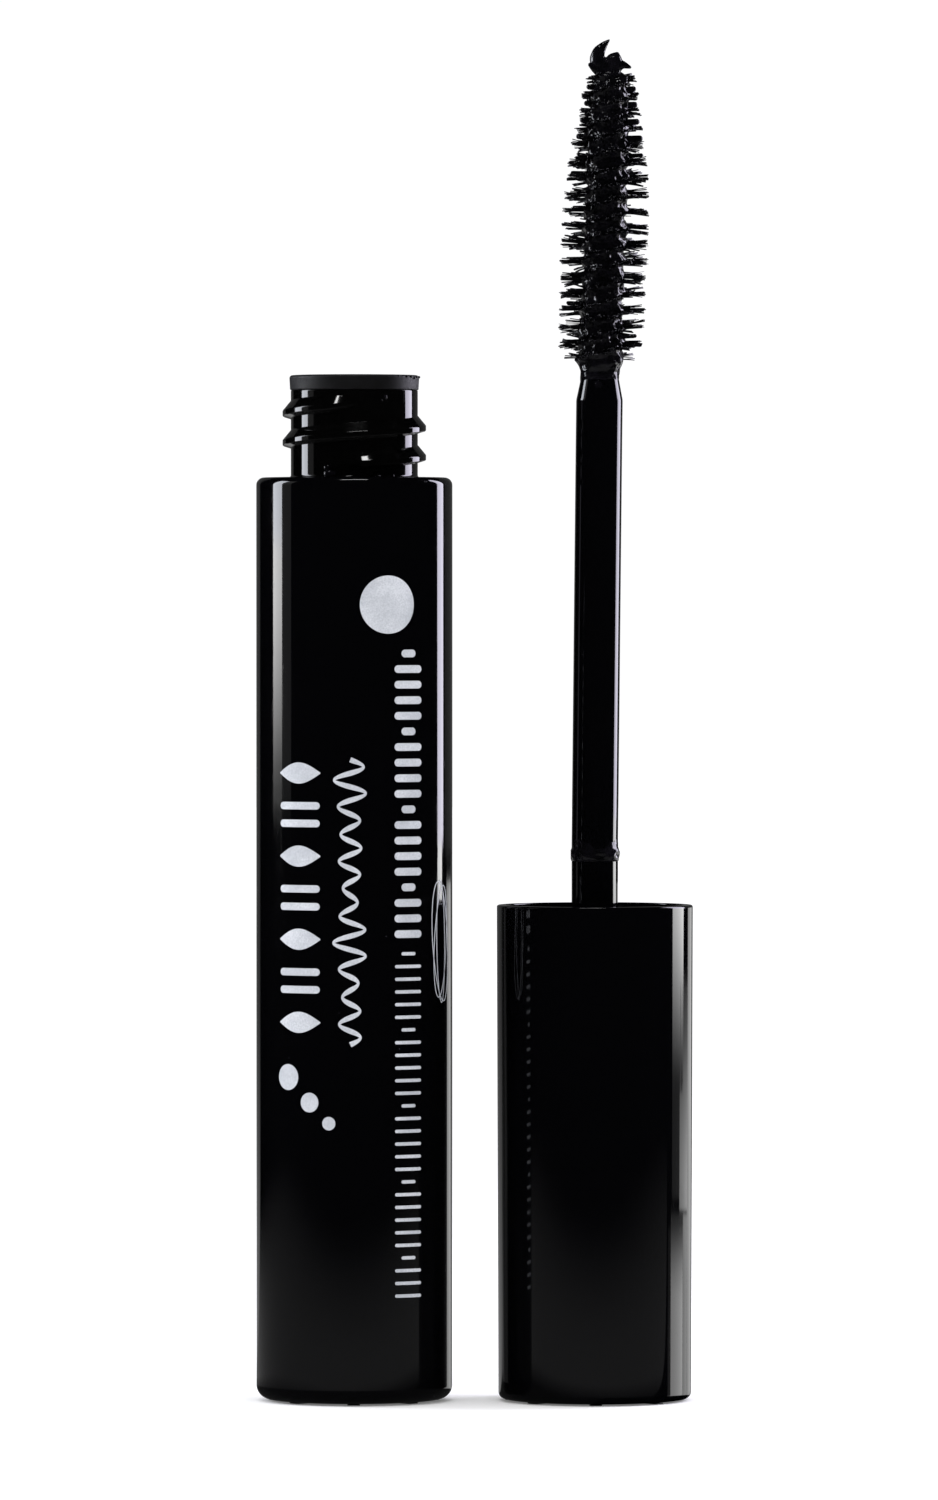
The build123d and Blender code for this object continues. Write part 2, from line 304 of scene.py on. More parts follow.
def ink_bar(u, v, half_length, half_width, steps=24):
    """A mark with round ends lying along u: its width is sqrt(1 - s^2) of full over each end."""
    s = -np.cos(np.linspace(0.06, np.pi - 0.06, steps)) * half_length
    end = np.clip((half_length - np.abs(s)) / min(half_width, half_length), 0, 1)
    return ink_line(u + s, np.full(steps, v), half_width * np.sqrt(1 - (1 - end) ** 2))


def ink_lens(u, v, half_length, half_width, steps=40):
    """A filled lens lying along u: its half width is half_width * cos(pi s / 2), s from -1 to 1."""
    s = np.linspace(-0.98, 0.98, steps)
    half = half_width * np.cos(s * np.pi / 2) + 0.02 * MM
    return ink_line(u + s * half_length, np.full(steps, v), half)


marks = []
for k in range(7):                                    # lenses, with pairs of bars between them
    v = (60.9 - 4.0 * k) * MM
    if k % 2:
        marks += [ink_bar(LEFT_COLUMN, v + side * MM, 2.3 * MM, 0.36 * MM) for side in (-0.85, 0.85)]
    else:
        marks.append(ink_lens(LEFT_COLUMN, v, 2.4 * MM, 1.0 * MM))

s = np.linspace(0, 1, 260)
swell = 1.0 + 0.55 * np.sin(17.0 * s) * np.cos(5.0 * s)
wave_u = -0.3 + 1.05 * swell * np.sin(s * TURN * WAVES)
pen = 0.19 + 0.06 * np.cos(s * TURN * 2 * WAVES)
marks.append(ink_line(wave_u * MM, (WAVE_TOP - WAVE_H * s) * MM, pen * MM))

# bars in the right column: how many, top, pitch, half length, every which one is short, half width
for count, top, pitch, half, short_at, thick in ((19, 72.4, 1.50, 1.55, 5, 0.37),
                                                 (28, 43.5, 1.22, 1.50, 6, 0.16)):
    for k in range(count):
        v = (top - pitch * k) * MM
        marks.append(ink_bar(RIGHT_COLUMN, v, (half if k % short_at else 0.8) * MM, thick * MM))

marks.append(ink_bar(3.42 * MM, 77.1 * MM, 2.8 * MM, 2.8 * MM, steps=40))            # disc
for u, v, radius in ((-6.9, 31.6, 1.25), (-4.4, 29.2, 0.95), (-2.4, 27.2, 0.65)):    # three dots
    marks.append(ink_bar(u * MM, v * MM, radius * MM, radius * MM))

LOOPS_U, LOOPS_V = 10.3, 44.6                         # the loops' common centre, in mm
loop = np.linspace(0, TURN, 120, endpoint=False)
for tilt, wide, tall in ((0.10, 1.5, 5.8), (-0.09, 1.2, 5.4), (0.02, 0.8, 5.9)):     # thin loops
    across, up = wide * np.cos(loop), tall * np.sin(loop)
    loop_u = LOOPS_U + across * np.cos(tilt) - up * np.sin(tilt)
    loop_v = LOOPS_V + across * np.sin(tilt) + up * np.cos(tilt)
    marks.append(ink_line(loop_u * MM, loop_v * MM, 0.05 * MM, closed=True))
print_marks = new_piece("printed_marks", *joined(*marks), "bottle", None, smooth=False)

# screen ink: a dry satin film of aluminium-grey pigment, a little uneven where the mesh let it through
ink, tree, shader, place = new_material("silver grey screen ink")
mesh_grain = add(tree, "ShaderNodeTexNoise", {"Scale": 1 / (0.15 * MM), "Detail": 2.0}, {"Vector": place})
cover = add(tree, "ShaderNodeTexNoise", {"Scale": 1 / (3 * MM), "Detail": 3.0}, {"Vector": place})
mixed = add(tree, "ShaderNodeMath", {}, {0: mesh_grain.outputs["Fac"], 1: cover.outputs["Fac"]},
            operation="MULTIPLY")
tone = add(tree, MAP, {1: 0.12, 2: 0.38, 3: 0.0, 4: 1.0}, {0: mixed.outputs["Value"]})
tinted(tree, shader, tone.outputs["Result"], "#a9adb3", "#c9ccd1")
textured(tree, shader, mesh_grain.outputs["Fac"], rough=(0.38, 0.55))
print_marks.data.materials.append(ink)

# ---------------------------------------------------------------------------------------------
# Inner vial: tube, shoulder plate and neck in one blow moulding of black PETG. Its one-start
# thread, 2.84 mm lead, is a buttress: nearly square below and sloped above, and fades at its ends.

NECK_R = 6.15 * MM
THROAT_R = 5.1 * MM
VIAL_R, VIAL_BORE_R = 7.4 * MM, 6.2 * MM
VIAL_LOW = SLEEVE_FLOOR + FIT
VIAL_FLOOR = 1.3 * MM
NECK_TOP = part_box("inner_vial")[1].z
LEAD = 2.84 * MM
NECK_THREAD_Z = 91.69 * MM         # height of the thread's middle where it passes the right side
NECK_THREAD = (-108, 640)          # degrees from there, where it starts and ends
NECK_CREST_R = 6.95 * MM
NECK_TOOTH = (1.7 * MM, 0.5 * MM)  # width at the wall and at the crest
TOOTH_SINK = 0.3 * MM              # how deep the tooth is rooted in the wall


def helix_rib(axis_x, z_at_x, span, root_r, crest_r, tooth, fade=35, steps_per_turn=160):
    """A tooth carried along a helix: (r cos a, r sin a, z0 + lead a / turn + section height).

    Its height above the wall is multiplied by a smooth step over the first and last fade degrees.
    """
    outward = np.sign(crest_r - root_r)
    root_w, crest_w = tooth
    slope = 0.2 * (root_w - crest_w)
    low = -root_w / 2
    back = root_r - outward * TOOTH_SINK
    section = rounded([
        (back, low, 0), (root_r, low, 0.1 * MM), (crest_r, low + slope, 0.12 * MM),
        (crest_r, low + slope + crest_w, 0.16 * MM), (root_r, -low, 0.12 * MM), (back, -low, 0),
    ])
    start, end = span
    angle = np.radians(np.linspace(start, end, int((end - start) / 360 * steps_per_turn)))
    from_end = np.minimum(angle - angle[0], angle[-1] - angle) / np.radians(fade)
    step = np.clip(from_end, 0, 1)
    height = (step * step * (3 - 2 * step))[:, None]
    r = root_r - outward * FIT + (section[:, 0] - root_r + outward * FIT) * height
    z = z_at_x + LEAD * angle[:, None] / TURN + section[:, 1] * (0.35 + 0.65 * height)
    points = np.stack([axis_x + r * np.cos(angle)[:, None], r * np.sin(angle)[:, None], z], -1)
    count = len(section)
    faces = grid_faces(len(angle), count, wrap_columns=True).tolist()
    last = count * (len(angle) - 1)
    faces += [list(range(count))[::-1], list(range(last, last + count))]
    if outward > 0:
        faces = [f[::-1] for f in faces]
    return points.reshape(-1, 3), faces


vial_outline = rounded([
    (0, VIAL_LOW, 0), (VIAL_R, VIAL_LOW, 1.3 * MM), (VIAL_R, BODY_H - PLATE_T, FIT),
    (PLATE_R, BODY_H - PLATE_T, FIT), (PLATE_R, BODY_H, FIT), (NECK_R, BODY_H, 0.25 * MM),
    (NECK_R, NECK_TOP, 0.1 * MM), (THROAT_R, NECK_TOP, 0.1 * MM),
    (THROAT_R, BODY_H - 0.7 * MM, 0.3 * MM),
    (VIAL_BORE_R, BODY_H - 1.8 * MM, 0.3 * MM), (VIAL_BORE_R, VIAL_LOW + VIAL_FLOOR, 1.3 * MM),
    (0, VIAL_LOW + VIAL_FLOOR, 0),
])
neck_rib = helix_rib(0, NECK_THREAD_Z, NECK_THREAD, NECK_R, NECK_CREST_R, NECK_TOOTH)
vial = new_piece("inner_vial_and_neck", *joined(lathe(vial_outline), neck_rib),
                 "bottle", "vial_plastic", ["inner_vial"])
vial.data.materials.append(polished_abs("polished black PETG", "#030303", dust=0.8, wear=0.5))

# ---------------------------------------------------------------------------------------------
# Wiper: a soft LDPE plug pressed into the neck. Its flange lies on the neck's top, and its funnel
# ends in the lip that strips the rod. Moulded matte, charcoal grey, with a fine grain.

WIPER_LOW, WIPER_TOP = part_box("wiper")[0].z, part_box("wiper")[1].z
FLANGE_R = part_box("wiper")[1].x
LIP_R = 2.3 * MM
WIPER_R = THROAT_R - FIT
WIPER_WALL = 0.75 * MM
FUNNEL_TOP = WIPER_LOW + 4.1 * MM
wiper_outline = rounded([
    (LIP_R, WIPER_LOW, 0), (LIP_R + WIPER_WALL, WIPER_LOW, 0.1 * MM), (WIPER_R, FUNNEL_TOP, 0.3 * MM),
    (WIPER_R, NECK_TOP, FIT), (FLANGE_R - 0.08 * MM, NECK_TOP + FIT / 5, 0.12 * MM),
    (FLANGE_R, WIPER_TOP, 0.3 * MM), (WIPER_R - WIPER_WALL, WIPER_TOP, 0.35 * MM),
    (WIPER_R - WIPER_WALL, FUNNEL_TOP, 0.4 * MM), (LIP_R, WIPER_LOW + 0.9 * MM, 0.2 * MM),
    (LIP_R, WIPER_LOW, 0),
])[:-1]
wiper = new_piece("wiper_plug", *lathe(wiper_outline), "bottle", "wiper_rubber", ["wiper"])

# soft LDPE: carbon-filled and moulded against an eroded face, so it is dark grey with no sharp gloss
elastomer, tree, shader, place = new_material("matte charcoal LDPE")
grain = add(tree, "ShaderNodeTexNoise", {"Scale": 1 / (0.14 * MM), "Detail": 3.0}, {"Vector": place})
patches = add(tree, "ShaderNodeTexNoise", {"Scale": 1 / (2.5 * MM), "Detail": 2.0}, {"Vector": place})
dusty = add(tree, MAP, {1: 0.35, 2: 0.7, 3: 0.0, 4: 1.0}, {0: patches.outputs["Fac"]})
tinted(tree, shader, dusty.outputs["Result"], "#0b0a0d", "#131217")
textured(tree, shader, grain.outputs["Fac"], rough=(0.48, 0.66), relief=(0.35, 0.03 * MM))
wiper.data.materials.append(elastomer)

# ---------------------------------------------------------------------------------------------
# Mascara in the vial: a thick black wax emulsion. It clings to the vial's wall and stands deeper on
# its floor, round the channel that the rod and brush left. The same product coats the brush.


def wet_mascara(name, rough_low=0.04, rough_high=0.16, grain_size=0.55 * MM, depth=0.08 * MM):
    """Fresh mascara: soot-black wax in water, glossy where it is wet and duller where it skins over."""
    material, tree, shader, place = new_material(name)
    lumps = add(tree, "ShaderNodeTexNoise", {"Scale": 1 / grain_size, "Detail": 1.5}, {"Vector": place})
    skin = add(tree, "ShaderNodeTexNoise", {"Scale": 1 / (1.1 * MM), "Detail": 2.0}, {"Vector": place})
    tone = add(tree, MAP, {1: 0.35, 2: 0.65, 3: 0.0, 4: 1.0}, {0: skin.outputs["Fac"]})
    tinted(tree, shader, tone.outputs["Result"], "#050506", "#0b0a0e")
    shader.inputs["IOR"].default_value = 1.45
    textured(tree, shader, skin.outputs["Fac"], rough=(rough_low, rough_high))
    textured(tree, shader, lumps.outputs["Fac"], relief=(0.9, depth))
    return material


FILL_LOW, FILL_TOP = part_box("product_fill")[0].z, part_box("product_fill")[1].z
FILL_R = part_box("product_fill")[1].x
CHANNEL_R, CHANNEL_LOW = 5.5 * MM, FILL_LOW + 2.5 * MM     # the channel that rod and brush leave in it
fill_outline = rounded([
    (0, FILL_LOW, 0), (FILL_R, FILL_LOW, 1.3 * MM), (FILL_R, FILL_TOP, 0.2 * MM),
    (CHANNEL_R, FILL_TOP - 0.6 * MM, 0.3 * MM), (CHANNEL_R, CHANNEL_LOW, 2.4 * MM),
    (0, CHANNEL_LOW - 1 * MM, 0),
])
fill = new_piece("mascara_in_vial", *lathe(fill_outline, 0, 96), "bottle", "mascara", ["product_fill"])
fill.data.materials.append(wet_mascara("mascara in the vial", grain_size=0.8 * MM))

# ---------------------------------------------------------------------------------------------
# Cap shell: black ABS, polished by its mould like the sleeve. A slight draft narrows it towards
# the closed end, which it stands on here with the rim up.

CAP_X = (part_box("cap_shell")[0].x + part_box("cap_shell")[1].x) / 2
CAP_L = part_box("cap_shell")[1].z
CAP_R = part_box("cap_shell")[1].y
CAP_END_R = 9.35 * MM
CAP_END_ROUND = 0.7 * MM
CAP_WALL, CAP_FLOOR = 0.85 * MM, 1.4 * MM
cap_outline = rounded([
    (0, FOOT_H, 0), (CAP_END_R, FOOT_H, CAP_END_ROUND), (CAP_R, CAP_L, 0.2 * MM),
    (CAP_R - CAP_WALL, CAP_L, 0.1 * MM), (CAP_END_R - CAP_WALL, CAP_FLOOR, 0.2 * MM),
    (0, CAP_FLOOR, 0),
])
cap_parts = joined(lathe(cap_outline, CAP_X), *foot_ribs(CAP_X, CAP_END_R - CAP_END_ROUND))
cap = new_piece("cap_outer_shell", *cap_parts, "applicator", "gloss_black", ["cap_shell"])
cap.data.materials.append(polished_abs("polished black ABS of the cap", wear=0.7))

# ---------------------------------------------------------------------------------------------
# Inner cap: the threaded insert glued into the shell, moulded in black polypropylene with a satin
# surface. Its floor holds the rod, and the pale foam washer lies on it.

INNER_TOP, INNER_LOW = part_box("inner_cap")[1].z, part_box("inner_cap")[0].z
INNER_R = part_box("inner_cap")[1].y
WEB_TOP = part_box("seal_washer")[0].z - FIT
WEB_T, HEAD_T = 3.2 * MM, 1.6 * MM
CAP_BORE_R = 7.2 * MM
HEAD_R, ROD_R = 3.9 * MM, 2.25 * MM
SKIRT_WALL = 1 * MM
CLOSING_TURNS = 1.75
CLOSED_GAP = 0.2 * MM              # groove left between cap and sleeve when the mascara is closed
CAP_THREAD = (-1080, -448)         # degrees, where the cap's own thread starts and ends
CAP_CREST_R = 6.45 * MM
CAP_TOOTH = (1.3 * MM, 0.6 * MM)
closed_height = CAP_L + CLOSED_GAP + BODY_H
cap_thread_z = closed_height - (NECK_THREAD_Z + LEAD / 2) - LEAD / 2 + LEAD * CLOSING_TURNS
insert_outline = rounded([
    (ROD_R + FIT, WEB_TOP, 0), (CAP_BORE_R, WEB_TOP, 0.2 * MM), (CAP_BORE_R, INNER_TOP, 0.15 * MM),
    (INNER_R, INNER_TOP, 0.15 * MM), (INNER_R, INNER_LOW, 0.1 * MM),
    (INNER_R - SKIRT_WALL, INNER_LOW, 0.1 * MM), (INNER_R - SKIRT_WALL, WEB_TOP - WEB_T, 0.3 * MM),
    (HEAD_R + FIT, WEB_TOP - WEB_T, 0.1 * MM), (HEAD_R + FIT, WEB_TOP - WEB_T + HEAD_T, 0.1 * MM),
    (ROD_R + FIT, WEB_TOP - WEB_T + HEAD_T, 0.05 * MM), (ROD_R + FIT, WEB_TOP, 0),
])[:-1][::-1]
cap_rib = helix_rib(CAP_X, cap_thread_z, CAP_THREAD, CAP_BORE_R, CAP_CREST_R, CAP_TOOTH)
insert = new_piece("threaded_insert", *joined(lathe(insert_outline, CAP_X, 128), cap_rib),
                   "applicator", "inner_cap_plastic", ["inner_cap"])

# polypropylene: waxy black, with a soft satin gloss from a finely spark-eroded mould
satin, tree, shader, place = new_material("satin black polypropylene")
spark = add(tree, "ShaderNodeTexNoise", {"Scale": 1 / (0.2 * MM), "Detail": 2.0}, {"Vector": place})
shader.inputs["Base Color"].default_value = linear("#0f0f11")
textured(tree, shader, spark.outputs["Fac"], rough=(0.28, 0.42), relief=(0.2, 0.02 * MM))
insert.data.materials.append(satin)

# washer: punched from off-white foam sheet, matte, with closed cells about 0.2 mm across
foam, tree, shader, place = new_material("closed cell polyethylene foam")
cells = add(tree, "ShaderNodeTexVoronoi", {"Scale": 1 / (0.18 * MM)}, {"Vector": place})
tone = add(tree, MAP, {1: 0.0, 2: 0.7, 3: 0.0, 4: 1.0}, {0: cells.outputs["Distance"]})
tinted(tree, shader, tone.outputs["Result"], "#c9c8c2", "#e2e1dc")
shader.inputs["Roughness"].default_value = 0.75
textured(tree, shader, cells.outputs["Distance"], relief=(0.4, 0.04 * MM))
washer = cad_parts["seal_washer"]
washer.data.materials.clear()
washer.data.materials.append(foam)

# ---------------------------------------------------------------------------------------------
# Rod: a polished black stem with a head held under the inner cap's floor. It leans by half a
# degree, as such slim mouldings do, and its last 2.5 mm taper down to grip the wire.

ROD_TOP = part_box("rod")[1].z
ROD_TIP_R = 1.75 * MM
WIRE_R = 0.7 * MM
LEAN, LEAN_FROM = 0.0102, 54 * MM      # it starts beyond the stretch that the wiper's lip grips
BEND, BEND_FROM, BEND_OVER = 0.030, 101 * MM, 2 * MM
TAPER_H, WIRE_DEPTH = 2.5 * MM, 8 * MM


def stem_lean(z):
    """Sideways shift of the stem at height z: a slope well above the rim, and a second, softer one
    above the rod's end, where the wire is bent: log(1 + exp(t)) turns it in smoothly."""
    slope = LEAN * np.maximum(z - LEAN_FROM, 0)
    bend = BEND * BEND_OVER * np.logaddexp(0, (z - BEND_FROM) / BEND_OVER)
    return np.stack([slope + bend, np.zeros_like(z), np.zeros_like(z)], -1)


head_top = WEB_TOP - WEB_T + HEAD_T - FIT
wire_hole = ROD_TOP - WIRE_DEPTH
levels = [(ROD_R, z * MM, 0) for z in np.linspace(38, 94, 29)]      # a loop every 2 mm, for the lean
rod_outline = rounded([
    (0, head_top - HEAD_T, 0), (HEAD_R, head_top - HEAD_T, 0.1 * MM), (HEAD_R, head_top, 0.1 * MM),
    (ROD_R, head_top, 0.05 * MM), *levels, (ROD_R, ROD_TOP - TAPER_H, 1.5 * MM),
    (ROD_TIP_R, ROD_TOP, 0.15 * MM), (WIRE_R + FIT, ROD_TOP, 0.05 * MM),
    (WIRE_R + FIT, wire_hole, 0.05 * MM), (0, wire_hole, 0),
])
rod = new_piece("stem_rod", *lathe(rod_outline, CAP_X, 128, stem_lean),
                "applicator", "gloss_black", ["rod"])
rod.data.materials.append(polished_abs("polished black POM", wear=0.35))

# ---------------------------------------------------------------------------------------------
# Twisted wire: two legs of 0.7 mm stainless wire, twisted with the bristles between them and
# pushed into the rod's end. The product hides nearly all of it.

WIRE_LOW, WIRE_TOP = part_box("core_wire")[0].z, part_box("core_wire")[1].z
LEG_R = 0.34 * MM
TWIST = 3.2 * MM           # height of a full twist, so a row of bristles leaves each side every 1.6 mm


def wire_leg(phase, steps=400, sides=12):
    """A round wire along a helix: centre (c cos a, c sin a, z), with its section square to the path.

    The section shrinks by sqrt(1 - t^2) over the last two radii, so the end is a dome.
    """
    z = np.linspace(WIRE_LOW, WIRE_TOP - LEG_R, steps)
    a = TURN * z / TWIST + phase
    around = np.arange(sides) / sides * TURN
    t = ((z - (WIRE_TOP - 2 * LEG_R)) / LEG_R).clip(0, 1)
    dome = np.sqrt(np.clip(1 - t ** 2, 0.01, 1))
    out = np.stack([np.cos(a), np.sin(a), np.zeros_like(a)], -1)
    slope = LEG_R * TURN / TWIST
    along = np.stack([-np.sin(a) * slope, np.cos(a) * slope, np.ones_like(a)], -1)
    along /= np.linalg.norm(along, axis=1, keepdims=True)
    side = np.cross(along, out)
    ring = np.cos(around)[None, :, None] * out[:, None] + np.sin(around)[None, :, None] * side[:, None]
    centre = out * LEG_R + np.stack([np.full_like(z, CAP_X), np.zeros_like(z), z], -1)
    points = centre[:, None] + ring * LEG_R * dome[:, None, None] + stem_lean(z)[:, None]
    faces = grid_faces(steps, sides, wrap_columns=True).tolist()
    last = sides * (steps - 1)
    faces += [list(range(sides))[::-1], list(range(last, last + sides))]
    return points.reshape(-1, 3), faces


wire = new_piece("twisted_wire", *joined(wire_leg(0), wire_leg(np.pi)),
                 "applicator", "steel_wire", ["core_wire"])

# stainless steel: bright grey metal, with the fine unevenness that drawing through a die leaves
steel, tree, shader, place = new_material("drawn stainless wire")
drawn = add(tree, "ShaderNodeTexNoise", {"Scale": 1 / (0.3 * MM), "Detail": 2.0}, {"Vector": place})
shader.inputs["Base Color"].default_value = linear("#b9bbbe")
shader.inputs["Metallic"].default_value = 1.0
textured(tree, shader, drawn.outputs["Fac"], rough=(0.22, 0.38))
wire.data.materials.append(steel)

# ---------------------------------------------------------------------------------------------
# Product on the wire: mascara packed round the twisted wire as a lumpy screw, waisted where it
# meets the rod. It is wet, and beads where the bristles leave it.

BRUSH_LOW = 101.0 * MM
BRUSH_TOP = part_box("bristles")[1].z
CORE_LOW, CORE_TOP = 98.7 * MM, BRUSH_TOP + 0.2 * MM
CORE_HEIGHTS = np.array([98.7, 99.2, 99.6, 100.1, 100.7, 101.4, 103, 112, 121, 126, 129.4]) * MM
CORE_RADII = np.array([1.84, 1.88, 1.90, 2.02, 2.2, 2.15, 2.0, 2.0, 1.95, 1.8, 1.55]) * MM
rng = np.random.default_rng(7)


def ripple(points, size, waves=14):
    """Smooth noise from -1 to 1 or so: the mean of cosines of waves about size long, all ways."""
    way = rng.normal(size=(waves, 3))
    way /= np.linalg.norm(way, axis=1, keepdims=True)
    pace = TURN / size * rng.uniform(0.6, 1.5, (waves, 1))
    return np.cos(points @ (way * pace).T + rng.uniform(0, TURN, waves)).sum(-1) / np.sqrt(waves)


def smooth_step(value, low, high):
    """0 below low and 1 above high, joined by 3 t^2 - 2 t^3."""
    t = np.clip((value - low) / (high - low), 0, 1)
    return t * t * (3 - 2 * t)


def core_surface(rows=700, columns=72):
    """Radius over (angle, z): a profile, two ridges that follow the wire's twist, and lumps."""
    z = np.linspace(CORE_LOW, CORE_TOP, rows)[:, None]
    a = np.arange(columns)[None] / columns * TURN
    profile = np.interp(z, CORE_HEIGHTS, CORE_RADII)
    point = np.stack([profile * np.cos(a), profile * np.sin(a), z + 0 * a], -1)
    on_brush = smooth_step(z, 99.3 * MM, 101.2 * MM)
    ridge = np.cos(2 * (a - TURN * z / TWIST))
    lumps = 0.14 * ridge + 0.13 * ripple(point, 1.3 * MM) + 0.045 * ripple(point, 0.6 * MM)
    r = profile + on_brush * lumps * MM
    r += (1 - on_brush) * 0.03 * MM * ripple(point, 0.7 * MM)
    r *= np.sqrt(np.clip((CORE_TOP + 0.01 * MM - z) / (0.7 * MM), 0, 1))
    points = np.stack([r * np.cos(a), r * np.sin(a), z + 0 * a], -1).reshape(-1, 3)
    quads = grid_faces(rows, columns, wrap_columns=True).tolist()
    last = columns * (rows - 1)
    quads += [list(range(columns))[::-1], list(range(last, last + columns))]
    points[:, 0] += CAP_X
    return points + stem_lean(points[:, 2]), quads


core = new_piece("product_round_the_wire", *core_surface(),
                 "applicator", "mascara", ["product_on_brush"])
brush_product = wet_mascara("mascara on the brush")
core.data.materials.append(brush_product)

# ---------------------------------------------------------------------------------------------
# Bristles: nylon filaments held between the wire's legs, so they leave it in two rows that wind
# round with the twist. Each is coated with mascara, and wet neighbours stick together in spikes.

BRISTLES = 2100
BRISTLE_STEPS, BRISTLE_SIDES = 6, 4
ROOT_R = 0.5 * MM                      # where they leave the wire
COATED_R, THINNER = 0.095 * MM, 0.03 * MM      # radius of a coated bristle, and what its tip loses
TRIM_HEIGHTS = np.array([101, 103, 111, 118, 122, 124, 125.5, 127, 129.2]) * MM
TRIM_RADII = np.array([3.9, 4.15, 4.3, 4.1, 3.5, 3.15, 2.85, 2.7, 2.1]) * MM


def reach(z):
    """Radius of the trimmed brush at height z: a barrel that narrows to its tip."""
    return np.interp(z, TRIM_HEIGHTS, TRIM_RADII)


def bristle_field():
    """Bristles as bent, tapered four-sided rods: base + direction * s + (gathering) * s^2.

    Each belongs to a spike of a few neighbours. Along its length s (0 to 1) its angle and height
    move from its own to the spike's, by s^1.5 times how wet the spike is.
    """
    share = (np.arange(BRISTLES) + 0.5) / BRISTLES
    row = np.arange(BRISTLES) % 2
    low = BRUSH_LOW + share * (BRUSH_TOP - 0.25 * MM - BRUSH_LOW)
    angle = TURN * low / TWIST + row * np.pi + rng.normal(0, 0.06, BRISTLES)
    low = low + rng.normal(0, 0.07 * MM, BRISTLES)
    sizes = rng.integers(3, 8, BRISTLES)
    spike = np.zeros(BRISTLES, int)
    for side in (0, 1):
        own = np.flatnonzero(row == side)
        number = np.searchsorted(np.cumsum(sizes), np.arange(len(own)), side="right")
        spike[own] = 2 * number + side
    members = np.maximum(np.bincount(spike), 1)
    mean_angle = (np.bincount(spike, angle) / members)[spike]
    mean_low = (np.bincount(spike, low) / members)[spike]
    spikes = len(members)
    wet = rng.uniform(0.1, 0.85, spikes)[spike]
    tilt = rng.normal(0.0, 0.05, spikes)[spike] + rng.normal(0, 0.03, BRISTLES)
    swing = rng.normal(0.0, 0.06, spikes)[spike] + rng.normal(0, 0.03, BRISTLES)
    length = reach(low) * rng.uniform(0.95, 1.03, spikes)[spike] * rng.uniform(0.95, 1.02, BRISTLES)
    s = np.linspace(0, 1, BRISTLE_STEPS)[None]
    gather = wet[:, None] * s ** 1.5
    a = angle[:, None] * (1 - gather) + mean_angle[:, None] * gather + swing[:, None] * s ** 2
    r = ROOT_R + (length[:, None] - ROOT_R) * s
    z = low[:, None] * (1 - gather) + mean_low[:, None] * gather
    z += (tilt * length)[:, None] * s ** 1.6
    path = np.stack([r * np.cos(a), r * np.sin(a), z], -1)
    along = np.gradient(path, axis=1)
    along /= np.linalg.norm(along, axis=-1, keepdims=True)
    side = np.cross(along, [0, 0, 1.0])
    side /= np.linalg.norm(side, axis=-1, keepdims=True)
    over = np.cross(side, along)
    coat = rng.uniform(0.75, 1.3, BRISTLES)[:, None] * (COATED_R - THINNER * s)
    coat[:, -2:] *= rng.uniform(0.7, 1.35, (BRISTLES, 1))
    around = (np.arange(BRISTLE_SIDES) + 0.5) / BRISTLE_SIDES * TURN
    ring = np.cos(around)[:, None] * side[:, :, None] + np.sin(around)[:, None] * over[:, :, None]
    points = (path[:, :, None] + ring * coat[..., None, None]).reshape(-1, 3)
    points[:, 0] += CAP_X
    points += stem_lean(points[:, 2])
    one = grid_faces(BRISTLE_STEPS, BRISTLE_SIDES, wrap_columns=True)[:, ::-1]
    last = BRISTLE_SIDES * (BRISTLE_STEPS - 1)
    ends = np.array([[0, 1, 2, 3], [last + 3, last + 2, last + 1, last]])
    one = np.vstack([one, ends])
    step = BRISTLE_SIDES * BRISTLE_STEPS
    return points, (np.arange(BRISTLES)[:, None, None] * step + one).reshape(-1, 4).tolist()


bristles = new_piece("coated_bristles", *bristle_field(), "applicator", "bristle_nylon", ["bristles"])
bristles.data.materials.append(wet_mascara("mascara on the bristles", 0.08, 0.25, 0.15 * MM, 0.02 * MM))

# ---------------------------------------------------------------------------------------------
# Loose product: the peak pulled out at the tip, beads that hang in the brush's rows and on the
# rod's taper, and dried crumbs on the neck and the wiper's flange. All of it is mascara.


def blob(centre, size, stretch=(1, 1, 1), rings=14, columns=20):
    """An ellipsoid: centre + size * stretch * (cos b cos a, cos b sin a, sin b)."""
    b = np.linspace(-np.pi / 2, np.pi / 2, rings)
    points, faces = lathe(np.stack([np.cos(b), np.sin(b)], -1), faces=columns)
    return points * stretch * size + centre, faces


def horn(path, radii):
    """A chain of overlapping blobs along a smooth path through the given points."""
    path, radii = np.array(path, float), np.array(radii, float)
    knots = np.linspace(0, 1, len(path))
    at = np.linspace(0, 1, 6 * len(path))
    centres = np.stack([np.interp(at, knots, path[:, k]) for k in range(3)], -1)
    for _ in range(3):
        centres[1:-1] = (centres[:-2] + 2 * centres[1:-1] + centres[2:]) / 4
    return [blob(c, r, rings=10, columns=12) for c, r in zip(centres, np.interp(at, knots, radii))]


def melted(piece, voxel, smooth=6):
    """Blobs run together: their union as one skin of small cells, then relaxed."""
    union = piece.modifiers.new("union", "REMESH")
    union.mode, union.voxel_size, union.use_smooth_shade = "VOXEL", voxel, True
    relax = piece.modifiers.new("relax", "SMOOTH")
    relax.factor, relax.iterations = 0.5, smooth


def by_tip(points_mm):
    """Points given in mm from the stem's own axis, as (sideways, towards the back, height)."""
    return [(CAP_X + x * MM, y * MM, z * MM) for x, y, z in points_mm]


